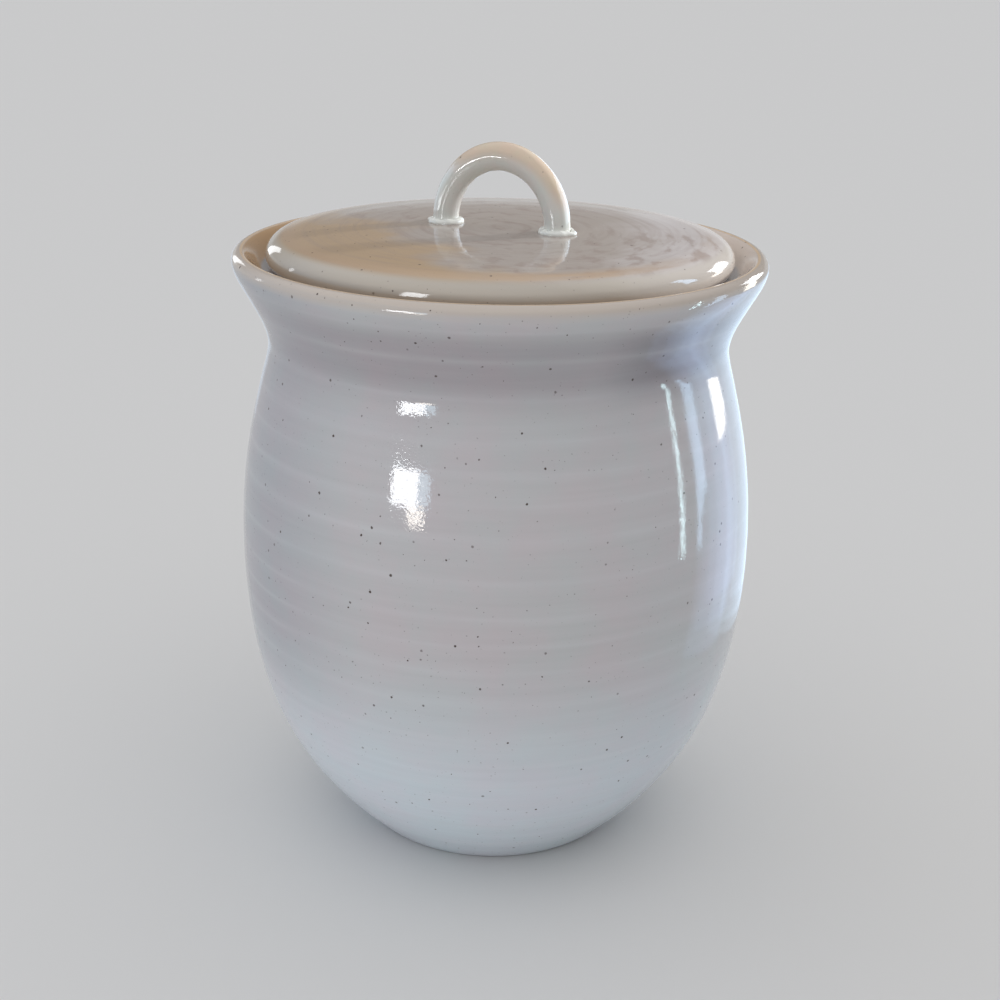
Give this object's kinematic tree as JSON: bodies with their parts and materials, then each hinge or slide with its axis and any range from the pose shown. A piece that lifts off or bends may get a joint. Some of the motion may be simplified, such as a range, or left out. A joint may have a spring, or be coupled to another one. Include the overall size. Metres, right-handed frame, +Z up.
{
  "type": "cookie jar",
  "caption": "Lidded stoneware cookie jar: round-bellied body with a flared rim, and a crowned lid that drops inside the rim and lifts off by an arched handle.",
  "frame": {"origin": "centre of the foot, on the plane that the jar stands on", "axes": "+Z up the jar's axis; +X along the span of the lid's handle, towards its right foot; +Y away from the front"},
  "size_m": [0.19, 0.19, 0.2567],
  "materials": {
    "body_glaze": "glossy pale blue-grey glaze with dark iron specks, thin and tan along the lip, over buff stoneware",
    "lid_glaze": "glossy beige-tan glaze with an orange-brown band near the edge and dark iron specks",
    "handle_glaze": "glossy cream-grey glaze, warmer where it runs thin on the crest"
  },
  "bodies": {
    "jar": {"jar_body": "body_glaze"},
    "lid_assembly": {"lid": "lid_glaze", "lid_handle": "handle_glaze", "handle_bead_left": "handle_glaze", "handle_bead_right": "handle_glaze"}
  },
  "joints": [
    {"name": "lid_lift", "type": "slide", "parent": "jar", "child": "lid_assembly", "axis": [0, 0, 1], "range_m": [0, 0.1]}
  ]
}
